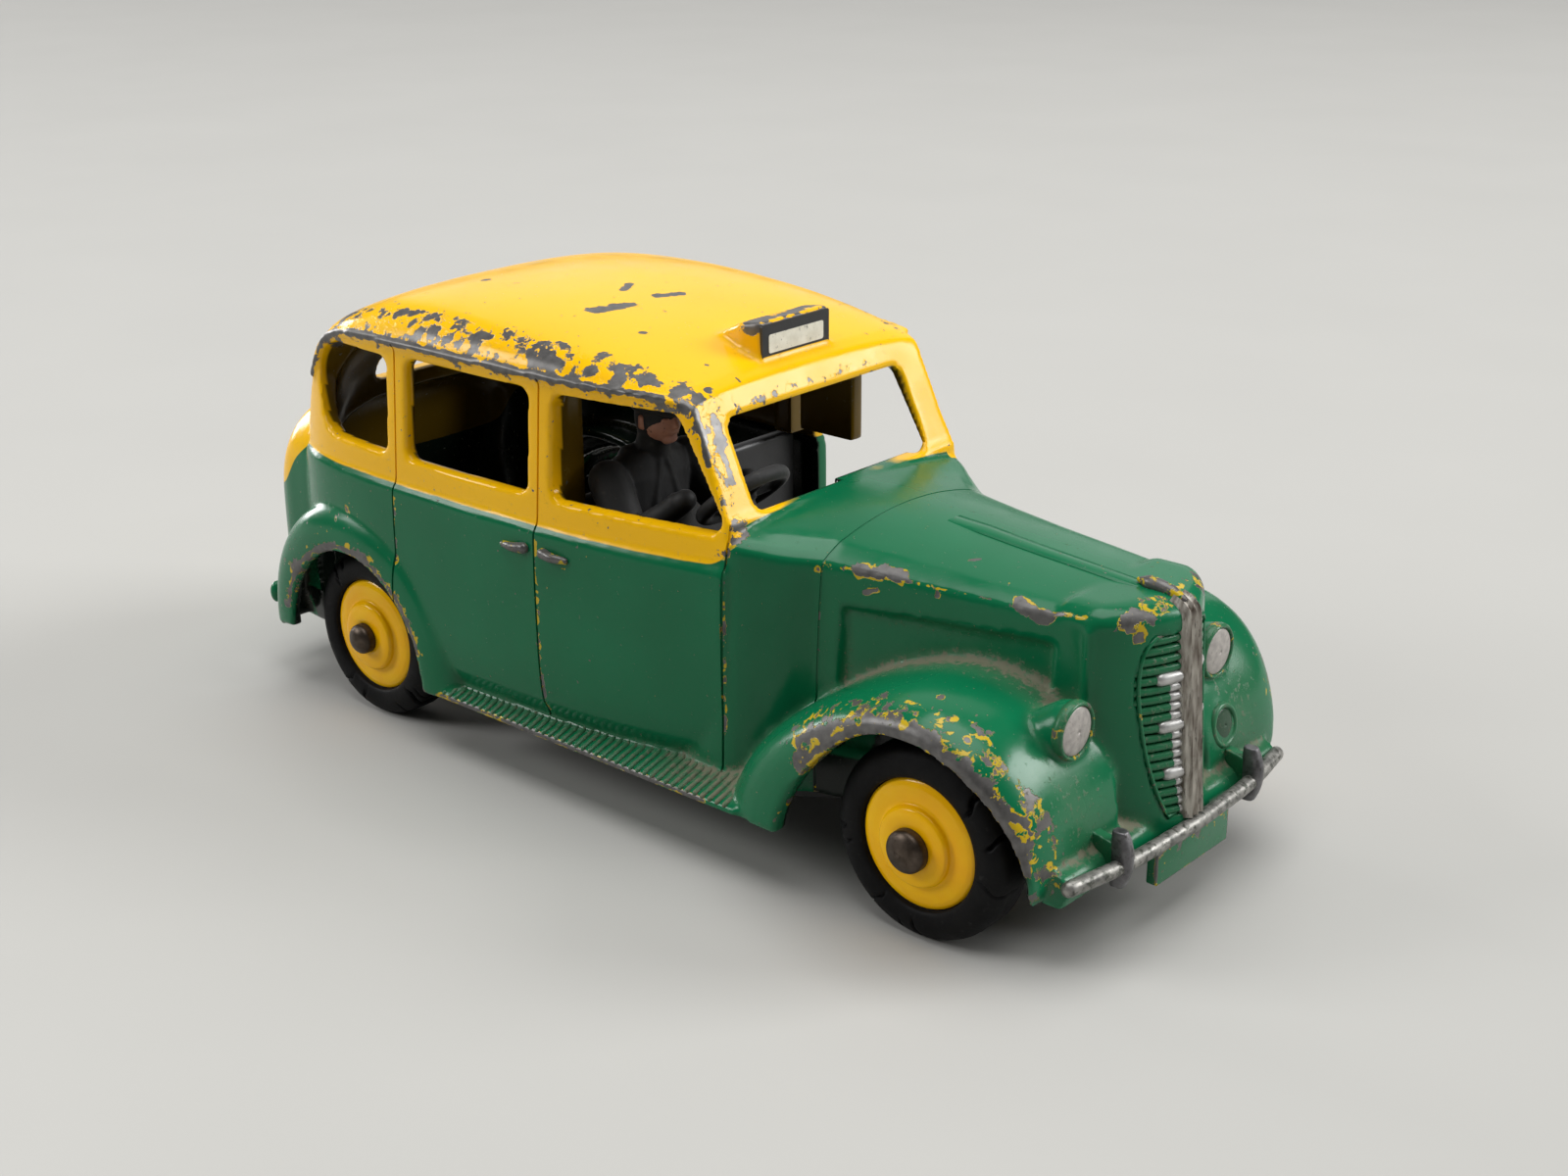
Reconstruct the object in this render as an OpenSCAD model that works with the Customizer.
// Toy taxi: a die-cast cab body on a base casting, with a driver, two axles and four wheels.
// Frame: +X to the front, +Y to the car's left, +Z up, origin on the floor under the middle.

/* [Overall] */
// Length over the bumpers; the other sizes along the car are for a length of 94 and stretch with it
car_length = 94; // [90:0.5:100]
// How far the wings stand out past the cabin, on each side
wing_proud = 1.2; // [1:0.1:2.4]
// Distance between the axles
wheelbase = 61.8; // [60:0.2:63]
// Front axle to the foremost point
front_overhang = 13.8; // [13:0.1:15]

/* [Cabin] */
// Height of the lower edge of the body
sill_z = 5.2; // [4.8:0.1:5.8]
// Height of the paint line under the windows
waist_z = 23.5; // [22.5:0.1:24.2]
// Height of the roof edge above the side windows
gutter_z = 35.7; // [35.4:0.1:36.6]
// Rise of the roof from its edge to its crown
roof_rise = 3.9; // [3.2:0.1:4.6]
// Width of the cabin at the rear doors
cabin_w = 34.8; // [34.4:0.1:35.4]
// Width of the body where the front door starts
scuttle_w = 29.2; // [28.6:0.1:30]
// How much the rear doors lean in up to the roof edge
rear_lean = 0.9; // [0.5:0.1:1.2]
// How much the windscreen pillars lean in up to the roof edge
front_lean = 1.9; // [1.4:0.1:2.2]
// Wall of the casting
wall = 1.3; // [1:0.1:1.5]
// Windscreen foot to the foremost point
bonnet_length = 34; // [33:0.2:35]
// Lean of the windscreen from upright
screen_rake = 25; // [20:1:29]
// Length of the front door
front_door = 18.2; // [17.6:0.1:18.8]
// Length of the rear door
rear_door = 17.3; // [16.8:0.1:17.8]
// Rearmost point to the back of the cabin
boot_depth = 6.7; // [6:0.1:7.4]

/* [Windows] */
// Window sill above the paint line
window_rise = 2.3; // [2:0.1:2.8]
// Top of the windows below the roof edge
window_drop = 1.3; // [1:0.1:1.8]
// Width of the pillars between the side windows
pillar = 2.6; // [2.2:0.1:3.2]
// Corner radius of the windows
window_r = 1; // [0.6:0.1:1.4]
// Width of the windscreen opening
screen_w = 21.2; // [19.5:0.1:22]
// Height of the windscreen's foot above the paint line
screen_rise = 3.2; // [2.9:0.1:3.6]
// Width of the rear window
rear_window_w = 15; // [13:0.2:16]

/* [Bonnet and grille] */
// Width of the bonnet at its rear edge
bonnet_rear_w = 20.6; // [20:0.1:21.2]
// Width of the bonnet at the radiator
bonnet_front_w = 13; // [12.4:0.1:13.6]
// Height of the bonnet's side crease
crease_z = 24.4; // [24:0.1:24.8]
// Height of the bonnet's ridge at the radiator
nose_z = 24.8; // [24.5:0.1:25.2]
// Number of slats in the grille
slats = 19; // [10:1:20]
// Width of the grille at its widest
grille_w = 9.4; // [8.6:0.1:10]
// Height of the grille's foot
grille_foot_z = 8.4; // [8.2:0.1:9]
// Height of the grille's top
grille_top_z = 23.2; // [22.4:0.1:23.4]
// Width of the grille's centre bar
centre_bar_w = 2.2; // [1.6:0.1:2.6]
// Diameter of the headlamps
lamp_d = 4.4; // [4:0.1:4.8]
// Distance between the headlamp centres
lamp_gap = 19.2; // [18.8:0.1:19.8]
// Height of the headlamp centres
lamp_z = 16.8; // [16.5:0.1:17.2]

/* [Wheels] */
// Diameter of the tyre
tyre_d = 15.2; // [14.6:0.1:15.4]
// Width of the tyre
tyre_w = 4.2; // [3.8:0.1:4.4]
// Height of the tyre above the hub's rim
tyre_wall = 2.5; // [2.2:0.1:2.8]
// Height of the hub's flanges above the tyre's seat
flange_h = 0.6; // [0.4:0.1:0.8]
// Distance from the side of the wings in to the outer face of a hub
wheel_inset = 1.9; // [1.7:0.1:2.2]
// Diameter of the axle
axle_d = 2.2; // [1.8:0.1:2.4]
// Diameter of the axle's spun head
head_d = 3.7; // [3.4:0.1:4.2]
// Height of the axle's spun head
head_h = 1.3; // [1:0.1:1.5]

/* [Base] */
// Thickness of the base plate
base_t = 1.3; // [1.1:0.1:1.6]
// Height of the underside of the base plate
base_z = 4.2; // [3.9:0.1:4.6]
// Room between the rear tyres and the base plate
wheel_room = 2; // [1.6:0.1:2.4]
// Diameter of the rivet shanks
rivet_d = 2; // [1.8:0.1:2.2]
// Diameter of the rivet heads
rivet_head_d = 3.6; // [3.2:0.1:4]

/* [Figure] */
// Height of the driver's seat
seat_z = 14; // [13.5:0.1:14.5]
// Distance of the driver from the middle of the car
driver_y = 7.4; // [7:0.1:7.8]
// Diameter of the steering wheel
wheel_d = 8.4; // [7.8:0.1:8.8]

/* [Fits] */
// Radial gap of a turning fit
turn_gap = 0.06; // [0.04:0.01:0.09]
// Gap of pieces that are only assembled
seat_gap = 0.04; // [0.02:0.01:0.08]
// Room between the base plate and the inside of the body
base_gap = 0.5; // [0.4:0.05:0.7]

/* [Hidden] */
$fn = 48;
eps = 0.01;
upper_paint = "#e9ab12";
lower_paint = "#1d6a49";
base_paint = "#1b1b1c";

// Places along the car
stretch = car_length / 94;
nose_x = car_length / 2;
tail_x = -car_length / 2;
front_axle_x = nose_x - front_overhang * stretch;
rear_axle_x = front_axle_x - wheelbase * stretch;
axle_z = tyre_d / 2;
screen_x = nose_x - bonnet_length * stretch;
door_a_x = screen_x + 0.1;
door_b_x = door_a_x - front_door * stretch;
door_c_x = door_b_x - rear_door * stretch;
back_x = tail_x + boot_depth * stretch;
bonnet_x = screen_x + 6.6;
arris_x = nose_x - 5.8;
roof_z = gutter_z + roof_rise;
cabin_y = cabin_w / 2;
wing_y = cabin_y + wing_proud;
hub_face_y = wing_y - wheel_inset;
hub_d = tyre_d - 2 * tyre_wall;
seat_d = hub_d - 2 * flange_h;
tyre_in_y = hub_face_y - tyre_w;
base_tail_y = tyre_in_y - wheel_room;

// Smooth curve through hand-set [place, value] stations, flat-sloped at its ends
function mix(a, b, t) = a + (b - a) * t;
function span(st, x, i = 0) = i >= len(st) - 2 || x <= st[i + 1][0] ? i : span(st, x, i + 1);
function chord(st, i) = (st[i + 1][1] - st[i][1]) / (st[i + 1][0] - st[i][0]);
function tangent(st, i) =
    i == 0 ? chord(st, 0) : i == len(st) - 1 ? chord(st, i - 1) :
    (st[i + 1][1] - st[i - 1][1]) / (st[i + 1][0] - st[i - 1][0]);
function hermite(a, b, ma, mb, w, t) =
    a * (1 + 2 * t) * pow(1 - t, 2) + b * t * t * (3 - 2 * t)
    + w * (ma * t * pow(1 - t, 2) - mb * t * t * (1 - t));
function along(st, i, x) =
    let (w = st[i + 1][0] - st[i][0], t = max(0, min(1, (x - st[i][0]) / w)))
    hermite(st[i][1], st[i + 1][1], tangent(st, i), tangent(st, i + 1), w, t);
function curve(st, x) = along(st, span(st, x), x);
function steps(a, b, n) = [for (i = [0 : n]) mix(a, b, i / n)];
function bow(a, n) = pow(abs(a), 2 / n);

// Closed skin through rings with the same number of points, capped flat at both ends
module loft(rings) {
    n = len(rings[0]);
    m = len(rings);
    polyhedron([for (r = rings) each r], concat(
        [[for (i = [0 : n - 1]) i], [for (i = [n - 1 : -1 : 0]) (m - 1) * n + i]],
        [for (j = [0 : m - 2], i = [0 : n - 1])
            let (a = j * n + i, b = j * n + (i + 1) % n) each [[a, a + n, b + n], [a, b + n, b]]]));
}

// A ring across the car from its half outline, listed from the bottom up to the middle of the top
function ring_x(x, half) = concat(
    [for (p = half) [x, p[0], p[1]]],
    [for (i = [len(half) - 2 : -1 : 0]) [x, -half[i][0], half[i][1]]]);

module both_sides() {
    children();
    mirror([0, 1, 0]) children();
}

// Rounded four-sided cut-out from corners listed in turn
module rounded(corners, r) {
    hull() for (c = corners) translate(c) circle(r, $fn = 8);
}

// Flat shape in X and Z, pushed through the car from y0 to y1
module through_y(y0, y1) {
    translate([0, y1, 0]) rotate([90, 0, 0]) linear_extrude(y1 - y0) children();
}

// Cabin: half-widths and heights along the car
waist_half = [[back_x - 0.4, cabin_y - 10.4], [back_x + 0.4, cabin_y - 5.4], [back_x + 2.4, cabin_y - 2.7],
              [back_x + 8, cabin_y - 0.7], [door_c_x, cabin_y], [door_b_x, cabin_y - 0.3],
              [mix(door_b_x, door_a_x, 0.5), cabin_y - 1.2], [door_a_x, scuttle_w / 2]];
gutter_line = [[back_x - 0.4, waist_z - 5], [back_x + 0.8, waist_z - 2], [back_x + 2.4, waist_z + 1],
               [back_x + 3.6, waist_z + 4.4], [back_x + 5, waist_z + 7.4], [back_x + 7.4, gutter_z - 1.6],
               [back_x + 11, gutter_z - 0.3], [door_c_x, gutter_z], [screen_x - 9, gutter_z],
               [screen_x - 4.4, gutter_z - 0.4], [screen_x, gutter_z - 2.6]];
crown_line = [[back_x - 0.4, waist_z], [back_x + 0.8, waist_z + 4], [back_x + 2.4, waist_z + 7.6],
              [back_x + 5, gutter_z - 1], [back_x + 9.4, roof_z - 2.3],
              [mix(back_x, screen_x, 0.3), roof_z - 0.6], [mix(back_x, screen_x, 0.46), roof_z],
              [mix(back_x, screen_x, 0.606), roof_z - 0.3], [mix(back_x, screen_x, 0.76), roof_z - 1.3],
              [screen_x - 5.5, gutter_z + 0.8], [screen_x - 4, gutter_z - 0.1], [screen_x, gutter_z - 2.3]];
cabin_stations = concat(steps(back_x - 0.4, back_x + 8, 7), steps(back_x + 12, screen_x - 8, 7),
                        steps(screen_x - 6.6, screen_x + 0.2, 4));
lean_line = [[back_x, rear_lean], [door_b_x, rear_lean], [screen_x, front_lean]];
sill_flare = 0.5;
side_bulge = 0.35;
roof_bow = 2.5;
roof_angles = [0, 12, 26, 42, 58, 74, 90];
cabin_mid_x = (back_x + screen_x) / 2;

function side_half(x) = curve(waist_half, x);
function gutter(x) = curve(gutter_line, x);
function waist(x) = min(waist_z, gutter(x) - 0.3);
function lower_half(x, skin, floor_z) =
    let (w = side_half(x) - skin)
    [[w + sill_flare - 0.3, floor_z], [w + sill_flare, sill_z + 3],
     [w + sill_flare / 2 + side_bulge, mix(sill_z, waist(x), 0.6)], [w, waist(x)]];
function upper_half(x, skin) =
    let (w = side_half(x) - skin, zg = gutter(x), zt = max(curve(crown_line, x), zg + 0.1) - skin,
         lean = curve(lean_line, x) * max(0, zg - waist(x)) / (gutter_z - waist_z))
    concat([for (t = [0.35, 0.7]) [w - lean * t, mix(waist(x), zg, t)]],
           [for (a = roof_angles)
               [(w - lean) * bow(cos(a), roof_bow), mix(zg - 0.2 - skin, zt, bow(sin(a), roof_bow))]]);

module cabin_below() {
    loft([for (x = cabin_stations) ring_x(x, concat(lower_half(x, 0, sill_z), [[0, waist(x)]]))]);
}

module cabin_above() {
    loft([for (x = cabin_stations) ring_x(x, concat([[side_half(x), waist(x)]], upper_half(x, 0)))]);
}

// The cabin's outline shrunk by a skin, used for its hollow and to set the depth of grooves.
// Inside, each end is sampled a wall further out, so that the sloping ends keep their thickness.
// The short one stops a wall behind the windscreen's foot and leaves the scuttle whole.
module cabin_inside(skin, end, floor_z, skip = 1, short = false) {
    last = len(cabin_stations) - (short ? 2 : 1);
    loft([for (i = [last % skip : skip : last]) let (x = cabin_stations[i]) if (x > back_x + end)
        let (s = x + end * max(-1, min(1, (x - cabin_mid_x) / 12)))
        ring_x(x, concat(lower_half(s, skin, floor_z), upper_half(s, skin)))]);
}

// Everything in front of the leaning windscreen plane, set back by a wall for the inside
module ahead_of_screen(set_back = 0) {
    translate([screen_x - set_back, 0, waist_z + screen_rise]) rotate([0, -screen_rake, 0])
        translate([0, -2 * wing_y, -eps]) cube([roof_z, 4 * wing_y, roof_z]);
}

// Scuttle and bonnet in one loft, from under the windscreen to the radiator
bonnet_half = [[screen_x - 6, scuttle_w / 2 - 0.5], [door_a_x, scuttle_w / 2 - 0.1],
               [screen_x + 3.4, mix(scuttle_w, bonnet_rear_w, 0.48) / 2], [bonnet_x, bonnet_rear_w / 2],
               [arris_x, bonnet_front_w / 2], [arris_x + 1, bonnet_front_w / 2 - 0.2]];
crease_line = [[screen_x - 6, crease_z + 1.3], [screen_x, crease_z + 1.2], [screen_x + 3.4, crease_z + 0.5],
               [bonnet_x, crease_z + 0.2],
               [arris_x, crease_z - 0.4], [arris_x + 1, crease_z - 0.6]];
ridge_line = [[screen_x - 6, waist_z + screen_rise], [screen_x, waist_z + screen_rise + 0.3],
              [bonnet_x, waist_z + screen_rise - 0.1], [mix(bonnet_x, arris_x, 0.5), nose_z + 0.8],
              [arris_x, nose_z], [arris_x + 1, nose_z - 0.3]];
bonnet_stations = concat(steps(screen_x - 6, bonnet_x, 6), steps(bonnet_x + 3, arris_x + 1, 6));
hollow_stations = [screen_x - 6, screen_x + 0.6, screen_x + 3.4, bonnet_x, arris_x - 0.4];
bonnet_flare = 0.8;
ridge_step = 0.18;

function bonnet_w(x) = curve(bonnet_half, x);
function bonnet_section(x, skin, floor_z) =
    let (w = bonnet_w(x) - skin, zc = curve(crease_line, x) - skin, zt = curve(ridge_line, x) - skin)
    concat([[w + bonnet_flare, floor_z], [w + 0.25, zc - 4], [w, zc - 1.1], [w - 0.25, zc - 0.35],
            [w - 0.9, zc + 0.1]],
           [for (t = [0.7, 0.45, 0.2]) [w * t, mix(zt - ridge_step, zc, t * t)]],
           [[0.5, zt - ridge_step], [0.3, zt], [0, zt]]);

module bonnet(skin = 0, floor_z = sill_z, stations = bonnet_stations) {
    loft([for (x = stations) ring_x(x, bonnet_section(x, skin, floor_z))]);
}

module bonnet_hollow() {
    bonnet(wall, sill_z - 2, hollow_stations);
}

// Sunk panel on each side of the bonnet
panel_depth = 0.35;
module bonnet_panels() {
    difference() {
        through_y(-wing_y, wing_y) rounded([[bonnet_x + 1.6, 10], [bonnet_x + 1.6, crease_z - 3.6],
                                            [arris_x - 3.4, crease_z - 3], [arris_x - 3.4, 10]], 0.3);
        bonnet(panel_depth);
    }
}

// Radiator: plan rings stacked upwards, with a rounded prow and a rounded top
prow_lean = 0.08;
prow_n = 2.1;
brow_z = grille_top_z + 0.3;
nose_levels = concat(steps(sill_z + 1, brow_z, 3), [for (a = [20 : 20 : 80]) mix(brow_z, nose_z, sin(a))]);
function top_round(z) = let (t = max(0, (z - brow_z) / (nose_z - brow_z))) 1 - sqrt(1 - t * t);
function prow_x(z) = nose_x - 1.7 - prow_lean * (z - grille_foot_z) - 2.6 * top_round(z);
function prow_w(z) = bonnet_front_w / 2 - 2 * top_round(z);

module radiator(skin = 0) {
    loft([for (z = nose_levels) concat([[arris_x - 3, -prow_w(z) + skin, z]],
        [for (a = [-90 : 18 : 90]) [mix(arris_x, prow_x(z) - skin, bow(cos(a), prow_n)),
                                    (prow_w(z) - skin) * sign(a) * bow(sin(a), prow_n), z]],
        [[arris_x - 3, prow_w(z) - skin, z]])]);
}

// Grille outline, seen from the front, pushed along the car
grille_half = [[grille_foot_z, grille_w * 0.22], [mix(grille_foot_z, grille_top_z, 0.35), grille_w * 0.39],
               [mix(grille_foot_z, grille_top_z, 0.7), grille_w / 2],
               [grille_top_z - 1, grille_w * 0.48], [grille_top_z, grille_w * 0.38]];
slat_depth = 0.9;
slat_set_in = 0.3;
slat_pitch = (grille_top_z - grille_foot_z) / slats;
bar_proud = 0.4;

module grille_mouth() {
    side = [for (z = steps(grille_foot_z, grille_top_z, 8)) [curve(grille_half, z), z]];
    translate([arris_x, 0, 0]) rotate([90, 0, 90]) linear_extrude(8)
        polygon(concat(side, [for (i = [len(side) - 1 : -1 : 0]) [-side[i][0], side[i][1]]]));
}

// Each slat is one bar bent round the prow, with its ends sunk into the shell
function prow_at(y, z, skin) =
    mix(arris_x, prow_x(z) - skin, pow(1 - pow(min(1, abs(y) / (prow_w(z) - skin)), prow_n), 1 / prow_n));
module grille_slats() {
    for (i = [0 : slats - 1])
        let (z = grille_foot_z + (i + 0.5) * slat_pitch, w = curve(grille_half, z) + 0.2)
        translate([0, 0, z - slat_pitch * 0.28]) linear_extrude(slat_pitch * 0.56)
            polygon(concat([for (t = [-1, -0.6, 0, 0.6, 1]) [prow_at(t * w, z, slat_set_in), t * w]],
                           [for (t = [1, 0, -1]) [prow_at(t * w, z, slat_depth + 0.2), t * w]]));
}

// Upright bar with two flutes down its front, following the lean of the prow
module centre_bar() {
    w = centre_bar_w / 2;
    front = [[0.1, w], [bar_proud, w - 0.2], [bar_proud, w * 0.42], [bar_proud / 2, w * 0.32],
             [bar_proud, w * 0.22]];
    translate([prow_x(grille_foot_z), 0, grille_foot_z - 0.3]) rotate([0, -atan(prow_lean), 0])
        linear_extrude(grille_top_z - grille_foot_z + 0.5)
            polygon(concat([[-slat_depth - 0.5, -w], [-slat_depth - 0.5, w]], front,
                           [for (i = [4 : -1 : 0]) [front[i][0], -front[i][1]]]));
}

// Filler mascot on top of the radiator
mascot_l = 3;
module mascot() {
    hull() for (t = [0, 1]) translate([arris_x + t * mascot_l, 0, nose_z - 0.2 - 0.35 * t])
        sphere(0.5, $fn = 10);
}

// Boot: rings across the car, rounded over the back
boot_half = [[tail_x + 1, cabin_y - 8.4], [tail_x + 1.5, cabin_y - 5.4], [tail_x + 3, cabin_y - 3.7],
             [back_x - 0.5, cabin_y - 3.1], [back_x + 4, cabin_y - 2.8]];
boot_top = [[tail_x + 1, waist_z - 9], [tail_x + 1.5, waist_z - 4], [tail_x + 3, waist_z + 1.4],
            [back_x - 1, waist_z + 3.4], [back_x + 4, waist_z + 4]];
boot_stations = [tail_x + 1, tail_x + 1.2, tail_x + 1.5, tail_x + 2.1, tail_x + 3, tail_x + 4.2, back_x - 1,
                 back_x + 1, back_x + 4];
boot_n = 3.4;
function boot_section(x, skin, floor_z) =
    let (w = curve(boot_half, x) - skin, zt = curve(boot_top, x) - skin, zm = mix(sill_z, zt, 0.55))
    concat([[w - 0.8, floor_z], [w, sill_z + 3]],
           [for (a = [0 : 18 : 90]) [w * bow(cos(a), boot_n), mix(zm, zt, bow(sin(a), boot_n))]]);
module boot(skin = 0, floor_z = sill_z) {
    loft([for (x = boot_stations) let (s = x + skin) ring_x(s, boot_section(x, skin, floor_z))]);
}

// Wings: sections set round the axle, from a crest line to the edge of the wheel arch
front_crest = [[-9, 10.2], [0, 10.4], [30, 10.9], [60, 11.4], [95, 11.5], [120, 11.8], [150, 13.8],
               [180, 18.2], [192, 20.6]];
front_arch = [[-9, 10], [20, 9.4], [45, 9.2], [100, 9.1], [140, 9.1], [165, 10.1], [192, 12.2]];
front_reach = [[-9, wing_y - 2], [20, wing_y - 1.2], [60, wing_y], [192, wing_y]];
rear_crest = [[-20, 14], [0, 12.6], [25, 11.9], [60, 12.2], [90, 12.2], [120, 12.7], [150, 13],
              [180, 13.4], [188, 13.6]];
rear_reach = [[-20, wing_y], [120, wing_y], [188, wing_y - 0.8]];
rear_arch = [[-20, 9.6], [0, 8.7], [30, 8.2], [60, 8.1], [100, 8.3], [130, 8.5], [155, 9.1], [188, 10.2]];
wing_n = 2.3;
wing_wall = 1;
function polar(axle_x, r, a, y) = [axle_x + r * cos(a), -y, axle_z + r * sin(a)];

// One section: inner side, crest, then a rounded shoulder down to the arch's edge
function wing_ring(axle_x, a, crest, arch, y_in, y_crest, y_out) =
    let (edge = min(arch + 0.3, crest - 0.2))
    concat([polar(axle_x, arch, a, y_in), polar(axle_x, arch, a, y_out)],
           [for (t = [90, 68, 46, 24, 0]) polar(axle_x, mix(edge, crest, bow(cos(t), wing_n)), a,
                                                        mix(y_crest, y_out, bow(sin(t), wing_n)))],
           [polar(axle_x, crest, a, y_in)]);

module wing(axle_x, crest, arch, reach, y_in, y_crest, skin = 0, open = false) {
    more = open ? 3 : 0;
    angles = steps(crest[0][0] - more, crest[len(crest) - 1][0] + more, open ? 9 : 16);
    loft([for (a = angles) wing_ring(axle_x, a, curve(crest, a) - skin, open ? 4 : curve(arch, a),
                                     y_in, y_crest, curve(reach, a) - skin)]);
}

module front_wing(skin = 0, open = false) {
    wing(front_axle_x, front_crest, front_arch, front_reach,
         open ? bonnet_w(front_axle_x) + wall : bonnet_front_w / 2 - 0.4, wing_y - 5.4, skin, open);
}

module rear_wing(skin = 0, open = false) {
    wing(rear_axle_x, rear_crest, rear_arch, rear_reach, wing_y - 5.6, wing_y - 2.2, skin, open);
}

module above(z) {
    translate([-car_length, -2 * wing_y, z]) cube([2 * car_length, 4 * wing_y, 2 * roof_z]);
}

// Running board: a sloping plate with cross ribs, from the front wing's tail to the rear wing
board_top_z = 5.9;
board_t = 0.75;
board_slope = 12;
board_pitch = 1.3;
rib_h = 0.2;
board_front_x = front_axle_x - 16;
board_rear_x = rear_axle_x + 9.6;
board_y = wing_y - 0.2;
module running_board() {
    count = floor((board_front_x - board_rear_x) / board_pitch);
    ribs = [for (i = [0 : count], t = [0, 0.5]) [board_rear_x + (i + t) * board_pitch, t == 0 ? 0 : rib_h]];
    body_edge = [for (x = steps(board_rear_x - 1, board_front_x + 2, 5)) [x, wall / 2 - side_half(x)]];
    intersection() {
        translate([0, -board_y, board_top_z]) rotate([-board_slope, 0, 0]) rotate([90, 0, 180])
            mirror([1, 0, 0]) linear_extrude(6)
                polygon(concat([[board_front_x, -board_t], [board_rear_x, -board_t]], ribs));
        linear_extrude(board_top_z + 3)
            polygon(concat(body_edge, [[board_front_x + 2, -wing_y], [board_rear_x - 1, -wing_y]]));
    }
}

// Bumper bar through three points, swept back at its ends
bar_r = 0.7;
module bumper(x, sweep, z) {
    y_end = wing_y - 3.2;
    places = [[x - sweep * 1.6, -y_end, z], [x - sweep * 0.45, -y_end * 0.58, z], [x, 0, z],
              [x - sweep * 0.45, y_end * 0.58, z], [x - sweep * 1.6, y_end, z]];
    for (i = [0 : 3]) hull() for (p = [places[i], places[i + 1]]) translate(p) sphere(bar_r, $fn = 8);
}

front_bar_z = 7.4;
front_bar_x = nose_x - bar_r;
rear_bar_z = 6.9;
rear_bar_x = tail_x + bar_r;
overrider_y = 9.5;
module overrider(x, z, way) {
    hull() for (dz = [-1, 1.9]) translate([x - 0.3 * way, -overrider_y, z + dz])
        scale(0.85) sphere(1, $fn = 10);
    translate([x - 1.8 * way, -overrider_y, z + 0.5]) cube([3.3, 1.2, 1.7], center = true);
}

module bumper_iron() {
    t = 1.2;
    translate([rear_bar_x, -overrider_y - t / 2, rear_bar_z - t / 2]) cube([3, t, t]);
}

plate_w = 10;
plate_h = 2.1;
module front_plate() {
    translate([nose_x - 1.6, -plate_w / 2, front_bar_z - 1.2 - plate_h]) cube([0.9, plate_w, plate_h + 1.2]);
}

// Valance between the front wings, just ahead of the tyres
module apron() {
    rear_x = front_axle_x + tyre_d / 2 + 0.7;
    foot_z = sill_z + 0.3;
    through_y(-wing_y + 4, wing_y - 4)
        polygon([[rear_x, foot_z], [nose_x - 2.6, foot_z], [nose_x - 1.9, front_bar_z - 0.5],
                 [nose_x - 2.4, grille_foot_z - 0.4], [rear_x, grille_foot_z + 0.8]]);
}

lamp_x = front_axle_x + 8.6;
lens_d = lamp_d - 0.8;
module headlamp() {
    translate([lamp_x, -lamp_gap / 2, lamp_z]) {
        hull() {
            rotate([0, -90, 0]) cylinder(d = lamp_d, h = 0.8, $fn = 16);
            translate([-4.4, -1.1, -1.6]) sphere(1.1, $fn = 8);
        }
        rotate([0, 90, 0]) cylinder(d1 = lens_d, d2 = lens_d - 1, h = 0.35, $fn = 16);
    }
}

fog_d = 3.6;
fog_x = front_axle_x + 9.6;
fog_y = 8.9;
fog_z = 11.3;
module fog_lamp() {
    translate([fog_x, fog_y, fog_z]) difference() {
        hull() {
            rotate([0, -90, 0]) cylinder(d = fog_d, h = 0.8, $fn = 16);
            translate([-3, 0.6, -1.6]) sphere(1, $fn = 10);
        }
        rotate([0, -90, 0]) translate([0, 0, -eps])
            cylinder(d1 = fog_d - 0.7, d2 = fog_d - 1.3, h = 0.3, $fn = 16);
    }
}

// Roof sign: a plain upright face with a tapering back
sign_w = 8.3;
sign_h = 3;
sign_l = 8.4;
sign_x = screen_x - 5.4;
module roof_sign() {
    z = gutter_z + 0.5;
    hull() {
        for (y = [-1, 1]) {
            translate([sign_x - 0.6, y * (sign_w / 2 - 0.5), z + sign_h - 0.5]) sphere(0.5, $fn = 8);
            translate([sign_x - 2.6, y * (sign_w / 2 - 0.5), z + sign_h - 0.7]) sphere(0.5, $fn = 8);
        }
        translate([sign_x - 2, -sign_w / 2, z - 0.8]) cube([2, sign_w, 0.8]);
        translate([sign_x - sign_l, -sign_w / 2 + 1, z - 0.8]) cube([1, sign_w - 2, 0.8]);
    }
}

handle_z = waist_z - 2;
handle_l = 2.2;
module handle(x, way) {
    y = side_half(x) + 0.15;
    hull() for (t = [0, 1]) translate([x + way * t * handle_l, -y, handle_z - 0.15 * t])
        sphere(0.42 - 0.1 * t, $fn = 6);
}

// Shut lines of the doors, cut to one depth all over the curved side
line_w = 0.3;
line_depth = 0.28;
line_foot_z = board_top_z + 0.8;
module shut_line(x, z0, z1, left) {
    difference() {
        translate([x - line_w / 2, -wing_y, z0]) cube([line_w, left ? 2 * wing_y : wing_y, z1 - z0]);
        cabin_inside(line_depth, 0, sill_z - 1);
    }
}

post = 1.1;
function screen_at(z) = screen_x - (z - waist_z - screen_rise) * tan(screen_rake);
window_sill = waist_z + window_rise;
window_top = gutter_z - window_drop;
module window(x0, x1, lean = 0) {
    r = window_r;
    rounded([[x0 + r, window_sill + r], [x1 - r, window_sill + r], [x1 - lean - r, window_top - r],
             [x0 + r, window_top - r]], r);
}

// Rear quarter window, swept round at the back
quarter_l = 10.4 * stretch;
module quarter_window() {
    x1 = door_c_x - pillar / 2;
    hull() {
        translate([x1 - window_r, window_sill + window_r]) circle(window_r, $fn = 8);
        translate([x1 - window_r, window_top - window_r - 0.3]) circle(window_r, $fn = 8);
        translate([x1 - quarter_l + 3.6, window_top - 3.9]) circle(3.6, $fn = 20);
        translate([x1 - quarter_l + 3, window_sill + 2.6]) circle(2.6, $fn = 16);
    }
}

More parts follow.
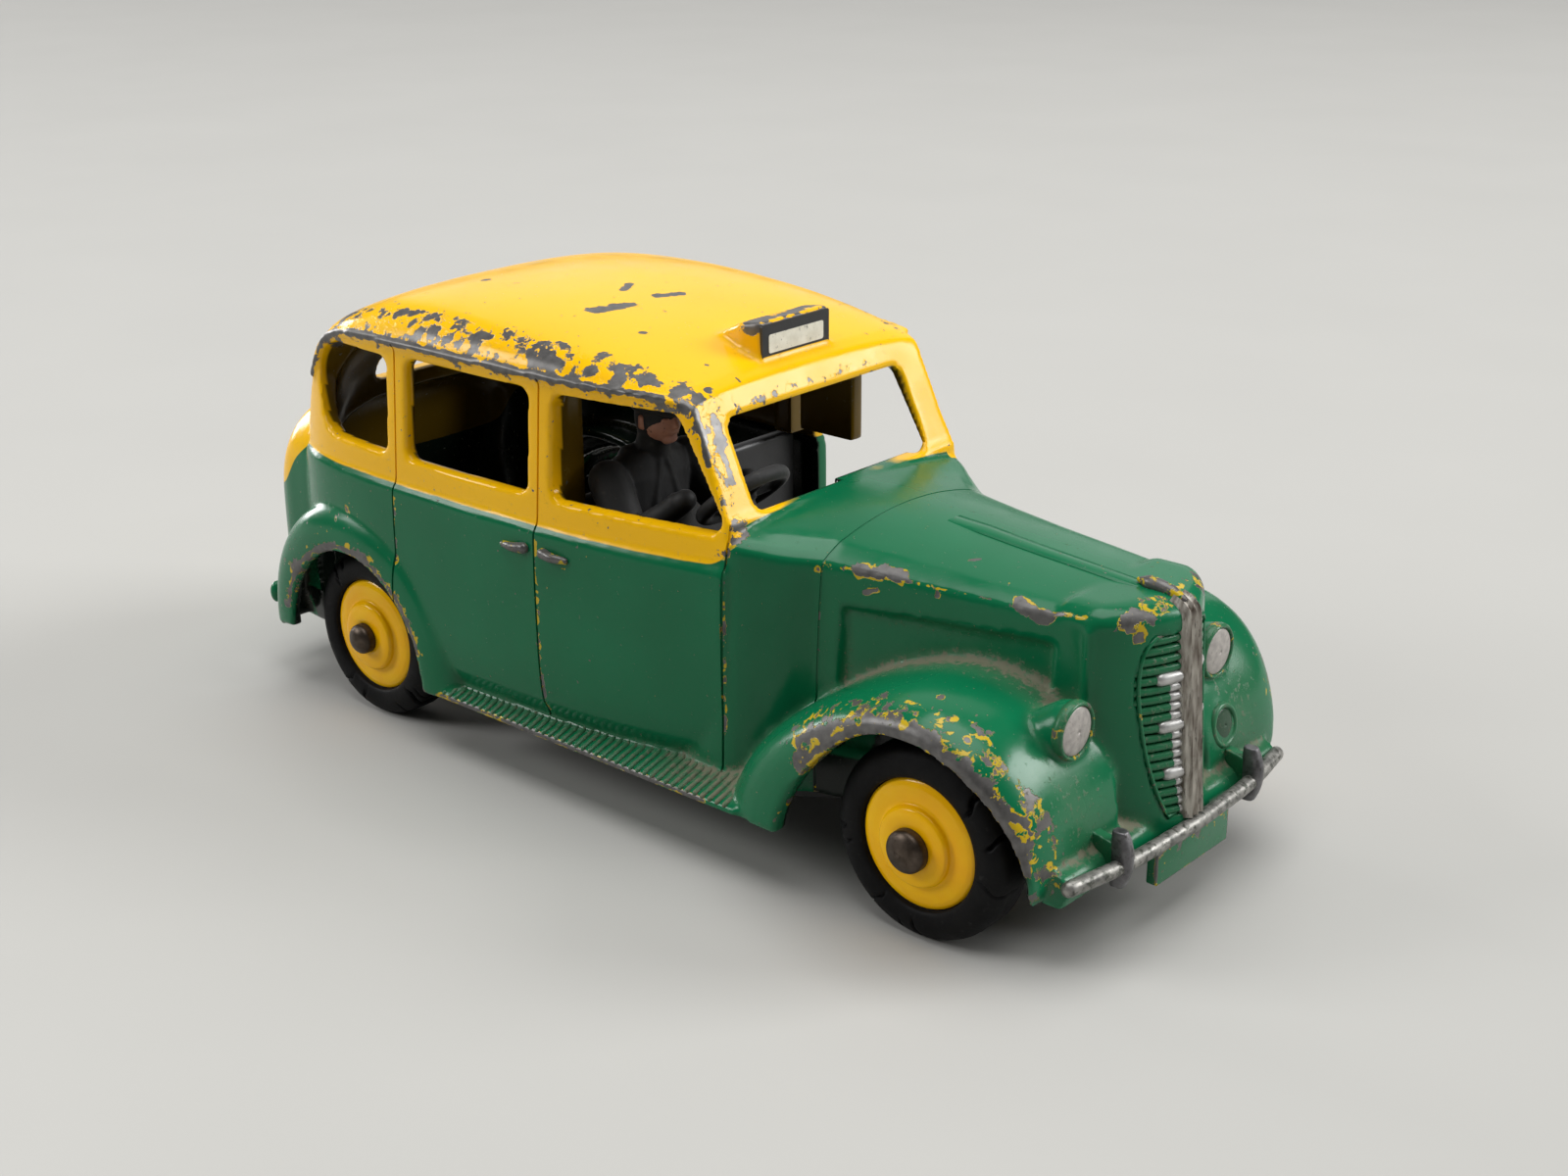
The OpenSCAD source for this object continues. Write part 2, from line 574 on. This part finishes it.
// Open luggage space in place of the left front door
bay_floor_z = base_z + base_t + 2;
module luggage_bay() {
    r = window_r;
    through_y(9.5, wing_y + 1)
        rounded([[door_b_x + post + r, bay_floor_z + r], [screen_x - post - r, bay_floor_z + r],
                 [screen_at(window_sill) - post - r, window_sill + r],
                 [screen_at(window_top) - post - r, window_top - r],
                 [door_b_x + post + r, window_top - r]], r);
}

module windscreen() {
    z0 = waist_z + screen_rise + 0.1;
    z1 = z0 + 6.8;
    r = window_r;
    translate([screen_x - 9, 0, 0]) rotate([90, 0, 90]) linear_extrude(9.7)
        rounded([[r - screen_w / 2, z0 + r], [screen_w / 2 - r, z0 + r], [screen_w / 2 - r, z1 - r],
                 [r - screen_w / 2, z1 - r]], r);
}

module rear_window() {
    r = 1.4;
    z0 = waist_z + 4.2;
    z1 = z0 + 4.6;
    translate([back_x - 3, 0, 0]) rotate([90, 0, 90]) linear_extrude(9)
        rounded([[r - rear_window_w / 2, z0 + r], [rear_window_w / 2 - r, z0 + r],
                 [rear_window_w / 2 - r - 0.8, z1 - r], [r + 0.8 - rear_window_w / 2, z1 - r]], r);
}

// Partition frame: a rib inside each door post, and the fare meter's panel under the roof
rib_in = 3.2;
rib_l = 2.4;
rib_foot_z = window_sill - 1.4;
meter_x = screen_x - 14;
meter_l = 6;
meter_y = 10.2;
meter_t = 1.5;
meter_foot_z = waist_z + screen_rise - 0.6;
module cabin_fittings(ribs) {
    intersection() {
        cabin_inside(wall / 2, 0, sill_z);
        union() {
            if (ribs) both_sides()
                translate([door_b_x - rib_l / 2, side_half(door_b_x) - wall - rib_in, rib_foot_z])
                    cube([rib_l, rib_in + 1, roof_z]);
            if (!ribs) translate([meter_x, meter_y, meter_foot_z]) cube([meter_l, meter_t, roof_z]);
        }
    }
}

// Studs that the base is riveted to, from the base's top up into the bonnet and the boot
front_stud_x = bonnet_x + 4;
rear_stud_x = back_x;
stud_d = 4.6;
base_top = base_z + base_t;
stud_hole = 5;
module studs() {
    front_h = curve(ridge_line, front_stud_x) - wall / 2 - base_top;
    rear_h = curve(boot_top, rear_stud_x - stud_d / 2) - wall / 2 - base_top;
    translate([front_stud_x, 0, base_top]) cylinder(d = stud_d, h = front_h, $fn = 16);
    translate([rear_stud_x, 0, base_top]) cylinder(d = stud_d, h = rear_h, $fn = 16);
}

module at_studs() {
    for (x = [front_stud_x, rear_stud_x]) translate([x, 0, base_top]) children();
}

// Way up through the bonnet's sides for the front axle
axle_room = 0.5;
module axle_notch() {
    r = axle_d / 2 + axle_room;
    translate([front_axle_x, 0, axle_z]) {
        rotate([90, 0, 0]) cylinder(r = r, h = 2 * tyre_d, center = true, $fn = 16);
        translate([-r, -tyre_d, -axle_z]) cube([2 * r, 2 * tyre_d, axle_z]);
    }
}

module body_shell() union() {
    difference() {
        union() {
            color(lower_paint) {
                difference() {
                    union() {
                        cabin_below();
                        bonnet();
                        radiator();
                        boot();
                    }
                    both_sides() translate([rear_axle_x, -base_tail_y - 0.5, axle_z]) rotate([90, 0, 0])
                        cylinder(r = tyre_d / 2 + 2.2, h = 10, $fn = 24);
                    cabin_inside(wall, wall, sill_z - 2, 2, true);
                    bonnet_hollow();
                    boot(wall, sill_z - 2);
                    bonnet_panels();
                    axle_notch();
                    difference() {
                        grille_mouth();
                        radiator(slat_depth);
                    }
                }
                both_sides() intersection() {
                    difference() {
                        union() {
                            front_wing();
                            rear_wing();
                        }
                        front_wing(wing_wall, true);
                        rear_wing(wing_wall, true);
                        bonnet_hollow();
                        axle_notch();
                    }
                    above(sill_z);
                }
                both_sides() {
                    running_board();
                    headlamp();
                    overrider(front_bar_x, front_bar_z, 1);
                    handle(door_b_x - 1.2, -1);
                }
                handle(door_b_x + 1.4, 1);
                grille_slats();
                centre_bar();
                mascot();
                apron();
                fog_lamp();
                bumper(front_bar_x, 1, front_bar_z);
                bumper(rear_bar_x, -0.4, rear_bar_z);
                both_sides() bumper_iron();
                front_plate();
                studs();
            }
            color(upper_paint) {
                difference() {
                    cabin_above();
                    ahead_of_screen();
                    difference() {
                        cabin_inside(wall, wall, sill_z - 2, 2);
                        ahead_of_screen(wall);
                    }
                }
                difference() {
                    roof_sign();
                    cabin_inside(wall, wall, sill_z, 2);
                }
                difference() {
                    cabin_fittings(true);
                    ahead_of_screen(wall / 2);
                }
            }
        }
        through_y(-wing_y - 1, wing_y + 1) window(door_c_x + pillar / 2, door_b_x - pillar / 2);
        through_y(-wing_y - 1, 0) window(door_b_x + pillar / 2, screen_at(window_sill) - post,
                                         screen_at(window_sill) - screen_at(window_top));
        through_y(-wing_y - 1, wing_y + 1) quarter_window();
        luggage_bay();
        windscreen();
        rear_window();
        shut_line(door_a_x, line_foot_z, window_sill + 3, false);
        shut_line(door_b_x, line_foot_z, gutter_z, true);
        shut_line(door_c_x, line_foot_z, gutter_z, true);
        at_studs() translate([0, 0, -1]) cylinder(d = rivet_d + 2 * seat_gap, h = stud_hole + 1, $fn = 20);
    }
    color(upper_paint) cabin_fittings(false);
}

// Base casting: floor, axle lugs, driver's seat, the wall behind it and the post of the steering column
rear_waist_x = rear_axle_x + tyre_d / 2 + 2;
lug_t = 2;
lug_r = axle_d / 2 + 1.2;
floor_front_x = front_axle_x + lug_r + 1.1;
floor_rear_x = rear_stud_x - stud_d / 2 - 1;
front_lug_y = bonnet_w(front_axle_x + lug_r) - wall;
rear_lug_y = base_tail_y;
seat_back_x = door_b_x - 1;
seat_l = 9;
seat_w = 11.6;
partition_t = 1.2;
partition_z = rib_foot_z - 0.4;
sink_h = 0.9;

// Moves children to the steering wheel's centre, with Z along its column towards the driver
column_lean = 40;
column_d = 1.3;
column_l = 13;
socket_l = 3;
socket_d = 2.8;
wheel_x = screen_x - 4.6;
wheel_z = waist_z + 3;
module at_column() {
    translate([wheel_x, -driver_y, wheel_z]) rotate([0, -column_lean, 0]) children();
}

function floor_half(x) =
    (x > screen_x ? bonnet_w(x) : side_half(min(x + wall, screen_x)) - base_gap) - wall;

module floor_plate() {
    places = [rear_waist_x + 2, door_b_x, mix(door_b_x, door_a_x, 0.5), screen_x, screen_x + 3.4, bonnet_x,
              floor_front_x];
    tail = base_tail_y;
    half = concat([[floor_rear_x, tail - 1], [rear_axle_x, tail], [rear_waist_x, tail]],
                  [for (x = places) [x, floor_half(x)]]);
    translate([0, 0, base_z]) linear_extrude(base_t)
        polygon(concat(half, [for (i = [len(half) - 1 : -1 : 0]) [half[i][0], -half[i][1]]]));
}

// Upright ear with a round head; y is its outer face
module axle_lug(x, y) {
    translate([x, 0, 0]) both_sides() {
        translate([-lug_r, y - lug_t, base_top - eps]) cube([2 * lug_r, lug_t, axle_z - base_top + eps]);
        translate([0, y, axle_z]) rotate([90, 0, 0]) cylinder(r = lug_r, h = lug_t);
    }
}

// Partition across the cabin with a rounded top edge
module partition() {
    w = 2 * floor_half(seat_back_x);
    r = partition_t / 2;
    translate([seat_back_x - partition_t, -w / 2, base_top - eps])
        cube([partition_t, w, partition_z - r - base_top]);
    translate([seat_back_x - r, w / 2, partition_z - r]) rotate([90, 0, 0]) cylinder(r = r, h = w);
}

// Post under the scuttle with its head cut square to the column
module column_post() {
    foot_x = wheel_x + column_l * sin(column_lean);
    difference() {
        translate([foot_x - socket_d, -driver_y - socket_d / 2, base_top - eps])
            cube([2 * socket_d - 1, socket_d, wheel_z - base_top - column_l / 2]);
        at_column() translate([-10, -10, socket_l - column_l]) cube(20);
    }
}

module base_plate() color(base_paint) difference() {
    union() {
        floor_plate();
        axle_lug(front_axle_x, front_lug_y);
        axle_lug(rear_axle_x, rear_lug_y);
        partition();
        translate([seat_back_x - eps, -driver_y - seat_w / 2, base_top - eps])
            cube([seat_l, seat_w, seat_z - base_top + eps]);
        column_post();
    }
    for (x = [front_axle_x, rear_axle_x]) translate([x, 0, axle_z]) rotate([90, 0, 0])
        cylinder(d = axle_d + 2 * turn_gap, h = 2 * wing_y, center = true);
    at_studs() {
        translate([0, 0, -2 * base_t]) cylinder(d = rivet_d + 2 * seat_gap, h = 3 * base_t);
        translate([0, 0, -base_t]) cylinder(d1 = rivet_head_d, d2 = rivet_d + 2 * seat_gap, h = sink_h);
    }
    at_column() translate([0, 0, -column_l]) cylinder(d = column_d + 2 * seat_gap, h = column_l);
}

// Two rivets, their heads sunk flush with the underside
module base_rivets() color(base_paint) at_studs() rotate_extrude()
    polygon([[0, -base_t], [rivet_head_d / 2 - seat_gap, -base_t], [rivet_d / 2, sink_h - base_t - seat_gap],
             [rivet_d / 2, stud_hole - 0.2], [0, stud_hole - 0.2]]);

// Driver: a seated figure in a coat and a peaked cap
back_room = 0.6;
hip_x = seat_back_x + back_room + 2.6;
module ball(x, y, z, r) {
    translate([x, y, z]) scale(r) sphere(1, $fn = 10);
}

module limb(a, b, ra, rb) {
    hull() {
        ball(a[0], a[1], a[2], [ra, ra, ra]);
        ball(b[0], b[1], b[2], [rb, rb, rb]);
    }
}

module coat() {
    hull() {
        ball(hip_x, 0, seat_z + 2.2, [2.6, 4.2, 2.6]);
        ball(hip_x + 0.4, 0, seat_z + 9, [2.8, 4.6, 3.4]);
        ball(hip_x + 0.8, 0, seat_z + 13, [2, 4.8, 1.9]);
    }
}

module head() {
    x = hip_x + 2;
    z = seat_z + 17.2;
    limb([hip_x + 1.2, 0, seat_z + 14], [x - 0.3, 0, z - 1], 1.5, 1.4);
    ball(x, 0, z, [2, 1.8, 2.3]);
    hull() {
        ball(x - 0.2, 0, z + 1, [2.1, 2, 0.8]);
        ball(x - 0.4, 0, z + 2, [2.6, 2.5, 0.8]);
    }
    translate([x + 1.4, 0, z + 1]) rotate([0, 14, 0]) scale([1.7, 1.7, 0.35]) sphere(1, $fn = 12);
}

module arm() {
    elbow = [hip_x + 4.2, -5.4, seat_z + 8.6];
    hand = [wheel_x - 2.8, -wheel_d * 0.43, wheel_z];
    limb([hip_x + 0.8, -4.7, seat_z + 12.8], elbow, 1.7, 1.4);
    limb(elbow, hand, 1.4, 0.9);
}

module leg() {
    knee = [seat_back_x + seat_l + 2, -2.2, seat_z + 2];
    limb([hip_x, -2.2, seat_z + 1.8], knee, 2, 1.6);
    limb(knee, [knee[0] + 0.6, -2.2, base_top + 1], 1.5, 1.1);
    limb([knee[0] + 0.6, -2.2, base_top + 0.8], [knee[0] + 3.2, -2.4, base_top + 0.6], 1.1, 0.9);
}

module driver_figure() color(base_paint) translate([0, -driver_y, 0]) intersection() {
    union() {
        coat();
        head();
        both_sides() {
            arm();
            leg();
        }
    }
    union() {
        above(seat_z);
        translate([seat_back_x + seat_l + 0.2, -2 * wing_y, base_top]) cube([20, 4 * wing_y, 20]);
    }
}

// Steering wheel: rim, hub, two spokes and the column
rim_d = 1.3;
spoke_d = 0.8;
module steering_wheel() color(base_paint) at_column() {
    rotate_extrude() translate([(wheel_d - rim_d) / 2, 0]) circle(d = rim_d, $fn = 24);
    rotate([90, 0, 0]) cylinder(d = spoke_d, h = wheel_d - rim_d, center = true);
    rotate([0, 90, 0]) cylinder(d = spoke_d, h = wheel_d - rim_d, center = true);
    translate([0, 0, -0.7]) cylinder(d1 = 1.8, d2 = 2.4, h = 1.2);
    translate([0, 0, -column_l]) cylinder(d = column_d, h = column_l);
}

// Axles: a rod with a domed spun head at each end, just clear of the hubs
boss_h = 0.5;
module axle(x) {
    reach = hub_face_y + boss_h + turn_gap;
    dome = [for (a = [0 : 15 : 90]) [head_d / 2 * cos(a), reach + head_h * mix(0.45, 1, sin(a))]];
    end = concat([[axle_d / 2, reach], [head_d / 2, reach]], dome);
    color("#4a423b") translate([x, 0, axle_z]) rotate([90, 0, 0]) rotate_extrude()
        polygon(concat([for (i = [len(end) - 1 : -1 : 0]) [end[i][0], -end[i][1]]], end));
}

// Moves children to a wheel, with Z pointing away from the car
module at_wheel(x, way) {
    translate([x, way * hub_face_y, axle_z]) rotate([-90 * way, 0, 0]) children();
}

// Hub: a dished disc with a raised middle and two flanges that hold the tyre
flange_t = 0.6;
step_r = hub_d * 0.3;
module hub(x, way) {
    bore_r = axle_d / 2 + turn_gap;
    rim_r = hub_d / 2;
    color("#e8a010") at_wheel(x, way) rotate_extrude()
        polygon([[bore_r, flange_t - tyre_w], [bore_r, boss_h], [step_r - 0.7, boss_h],
                 [step_r - 0.2, boss_h - 0.2], [step_r, 0.05], [step_r + 0.2, 0], [rim_r - 0.7, -0.25],
                 [rim_r - 0.35, 0], [rim_r - 0.1, -0.08], [rim_r, -0.3], [rim_r, -flange_t],
                 [seat_d / 2, -flange_t - 0.15],
                 [seat_d / 2, flange_t + 0.15 - tyre_w], [rim_r, flange_t - tyre_w], [rim_r, 0.2 - tyre_w],
                 [rim_r - 0.8, 0.2 - tyre_w], [rim_r - 1.4, flange_t - tyre_w]]);
}

// Tyre: a plain round-shouldered ring, seated between the hub's flanges
shoulder = 1.5;
module tyre(x, way) {
    out_r = tyre_d / 2;
    in_r = seat_d / 2 + seat_gap;
    lip_r = hub_d / 2 + seat_gap;
    half = [[in_r, tyre_w / 2 - flange_t - 0.15 - seat_gap], [lip_r, tyre_w / 2 - flange_t - seat_gap],
            [lip_r, tyre_w / 2 - 0.2]];
    side = concat(half, [for (a = [90 : -15 : 0])
        [out_r - shoulder + shoulder * cos(a), tyre_w / 2 - shoulder * (1 - sin(a)) * 0.8]]);
    color("#161616") at_wheel(x, way) translate([0, 0, -tyre_w / 2]) rotate_extrude()
        polygon(concat([for (i = [len(side) - 1 : -1 : 0]) [side[i][0], -side[i][1]]], side));
}

body_shell();
base_plate();
base_rivets();
driver_figure();
steering_wheel();
axle(front_axle_x);  // front_axle
axle(rear_axle_x);  // rear_axle
hub(front_axle_x, -1);  // hub_front_right
hub(front_axle_x, 1);  // hub_front_left
hub(rear_axle_x, -1);  // hub_rear_right
hub(rear_axle_x, 1);  // hub_rear_left
tyre(front_axle_x, -1);  // tyre_front_right
tyre(front_axle_x, 1);  // tyre_front_left
tyre(rear_axle_x, -1);  // tyre_rear_right
tyre(rear_axle_x, 1);  // tyre_rear_left
